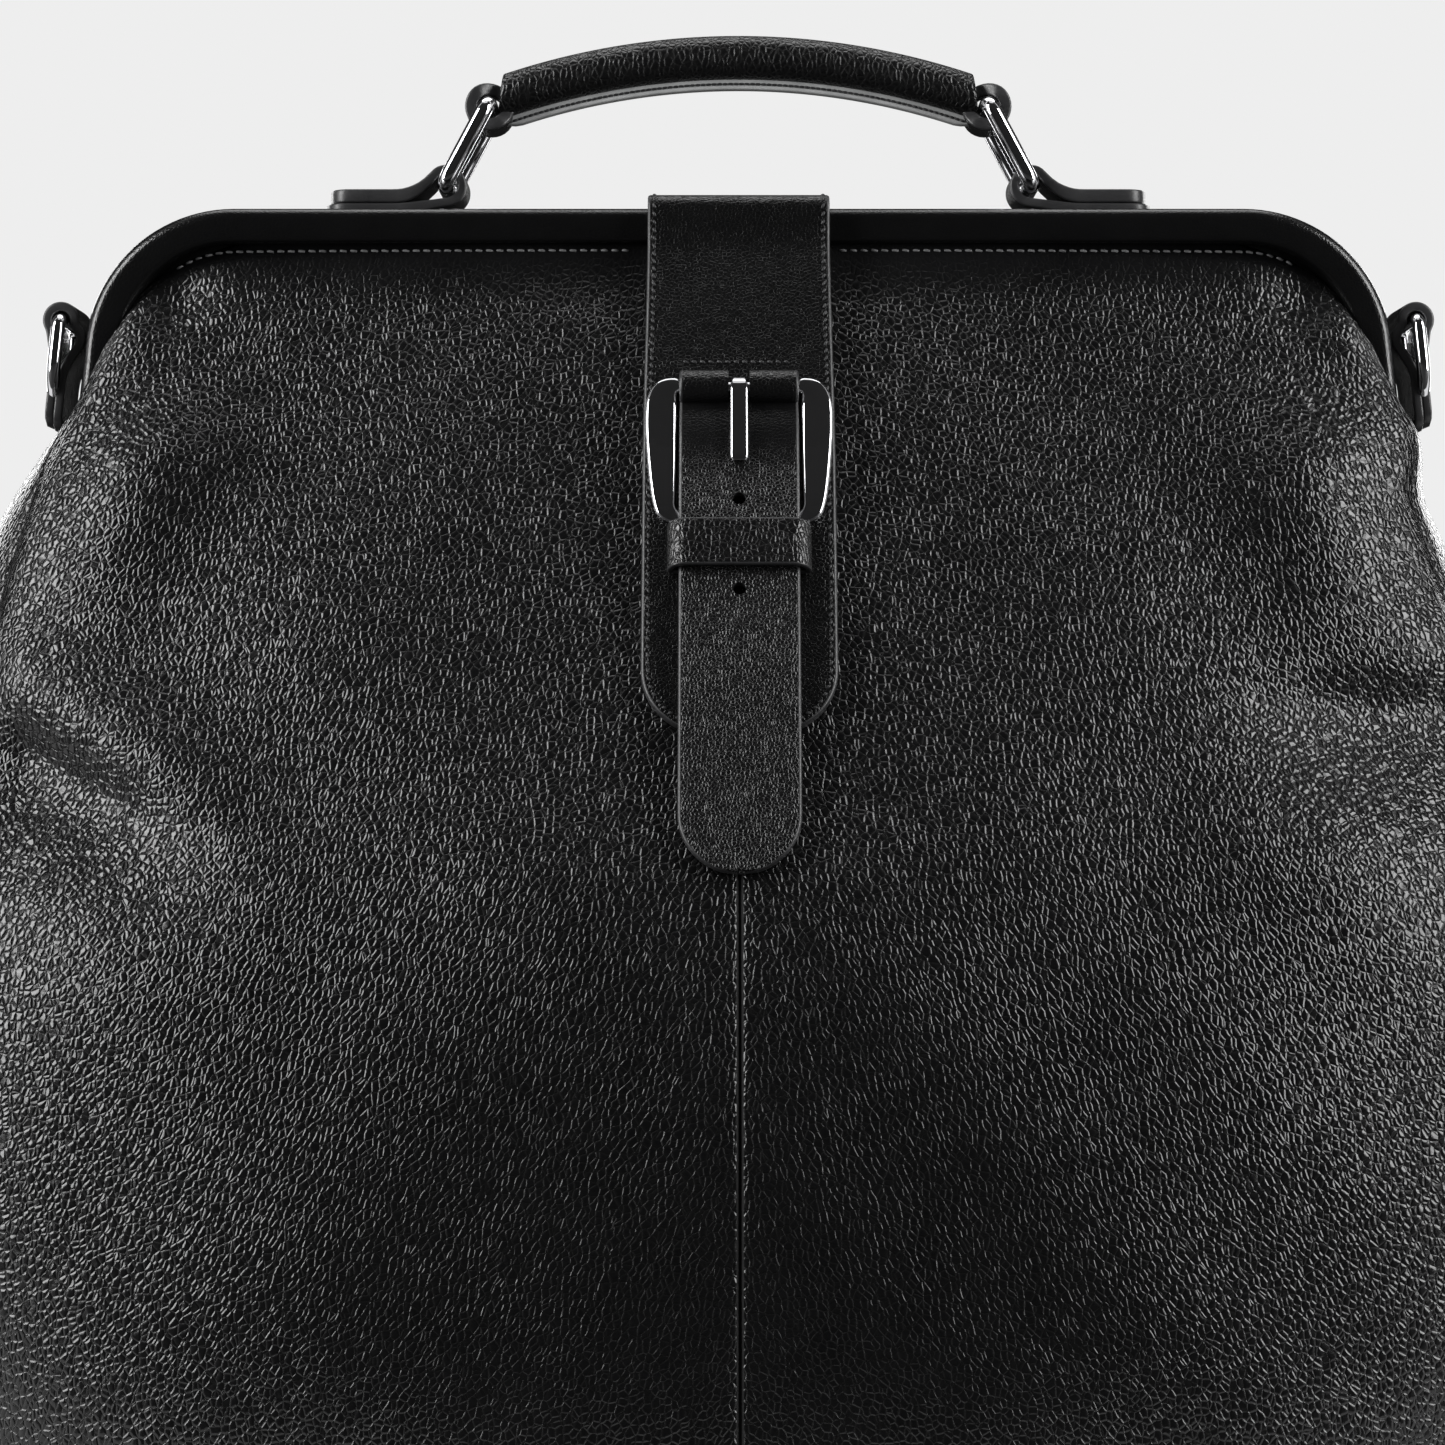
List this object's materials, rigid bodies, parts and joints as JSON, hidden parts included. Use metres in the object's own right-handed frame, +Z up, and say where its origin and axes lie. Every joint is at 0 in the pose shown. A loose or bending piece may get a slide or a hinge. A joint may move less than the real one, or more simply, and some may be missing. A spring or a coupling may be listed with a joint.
{
  "type": "doctor bag",
  "caption": "Black pebbled-leather doctor bag with a hinged frame, a buckled strap down its front, a linked top handle and D rings at its sides.",
  "frame": {"origin": "on the floor, below the middle of the bag", "axes": "+Z up, +X to the right of someone who faces the buckle, the buckle side faces -Y"},
  "size_m": [0.4298, 0.1908, 0.4007],
  "materials": {
    "grain_leather": "pebbled, semi-gloss black",
    "smooth_leather": "smooth black with painted edges",
    "polished_chrome": "polished plate",
    "frame_steel": "plain strip",
    "lining_cloth": "plain weave",
    "fibre_board": "matt fibre board"
  },
  "bodies": {
    "root": {"rear_frame": "frame_steel", "rear_frame_cover": "smooth_leather", "hinge_pins": "frame_steel", "front_panel_fold": "grain_leather", "front_panel_lower_left": "grain_leather", "front_panel_lower_right": "grain_leather", "rear_panel_left": "grain_leather", "rear_panel_right": "grain_leather", "gusset_upper_left": "grain_leather", "gusset_upper_right": "grain_leather", "gusset_lower_left": "grain_leather", "gusset_lower_right": "grain_leather", "lining_rear": "lining_cloth", "lining_lower": "lining_cloth", "base_panel": "grain_leather", "base_board": "fibre_board", "feet": "polished_chrome", "closure_strap_end": "smooth_leather", "magnet_plate": "frame_steel", "billet_end": "smooth_leather", "handle_tab_left": "smooth_leather", "handle_tab_right": "smooth_leather", "tab_rivets": "polished_chrome", "d_ring_tab_left": "smooth_leather", "d_ring_tab_right": "smooth_leather", "d_ring_rivets": "polished_chrome"},
    "front_half": {"front_frame": "frame_steel", "front_frame_cover": "smooth_leather", "front_panel_upper_left": "grain_leather", "front_panel_upper_right": "grain_leather", "lining_front": "lining_cloth", "closure_strap": "smooth_leather", "buckle_frame": "polished_chrome", "buckle_chape": "smooth_leather", "billet_strap": "smooth_leather"},
    "strap_tail": {"strap_tail": "smooth_leather", "magnet_disc": "frame_steel"},
    "prong": {"buckle_prong": "polished_chrome"},
    "keeper": {"strap_keeper": "smooth_leather"},
    "link_left": {"handle_link_left": "polished_chrome"},
    "grip": {"handle_grip": "grain_leather", "handle_core": "fibre_board", "handle_loop_left": "smooth_leather", "handle_loop_right": "smooth_leather"},
    "link_right": {"handle_link_right": "polished_chrome"},
    "ring_left": {"d_ring_left": "polished_chrome"},
    "ring_right": {"d_ring_right": "polished_chrome"}
  },
  "joints": [
    {"name": "front_open", "type": "hinge", "parent": "root", "child": "front_half", "pos_m": [0, 0, 0.225], "axis": [1, 0, 0], "range_deg": [0, 50], "deforming": ["front_panel_fold", "closure_strap_end", "billet_end", "gusset_upper_left", "gusset_upper_right"]},
    {"name": "tail_lift", "type": "hinge", "parent": "front_half", "child": "strap_tail", "pos_m": [0, -0.0205, 0.354], "axis": [1, 0, 0], "range_deg": [0, 100]},
    {"name": "prong_lift", "type": "hinge", "parent": "front_half", "child": "prong", "pos_m": [0, -0.03929, 0.29949], "axis": [-1, 0, 0], "range_deg": [0, 85]},
    {"name": "keeper_slide", "type": "slide", "parent": "front_half", "child": "keeper", "axis": [0, -0.3521, -0.936], "range_m": [0, 0.01]},
    {"name": "handle_sway", "type": "hinge", "parent": "root", "child": "link_left", "pos_m": [-0.0796, 0.0084, 0.3585], "axis": [0, 1, 0], "range_deg": [-12, 12]},
    {"name": "grip_turn", "type": "hinge", "parent": "link_left", "child": "grip", "pos_m": [-0.06783, 0.0084, 0.38044], "axis": [0, 1, 0], "range_deg": [-14.08, 14.08]},
    {"name": "right_link_turn", "type": "hinge", "parent": "root", "child": "link_right", "pos_m": [0.0796, 0.0084, 0.3585], "axis": [0, 1, 0], "range_deg": [-12, 12]},
    {"name": "d_ring_left_swing", "type": "hinge", "parent": "root", "child": "ring_left", "pos_m": [-0.18214, 0, 0.32073], "axis": [0, 1, 0], "range_deg": [0, 150]},
    {"name": "d_ring_right_swing", "type": "hinge", "parent": "root", "child": "ring_right", "pos_m": [0.18214, 0, 0.32073], "axis": [0, -1, 0], "range_deg": [0, 150]}
  ],
  "couplings": [
    {"joint": "grip_turn", "follows": "handle_sway", "ratio": -1.1735},
    {"joint": "right_link_turn", "follows": "handle_sway", "ratio": 1}
  ]
}
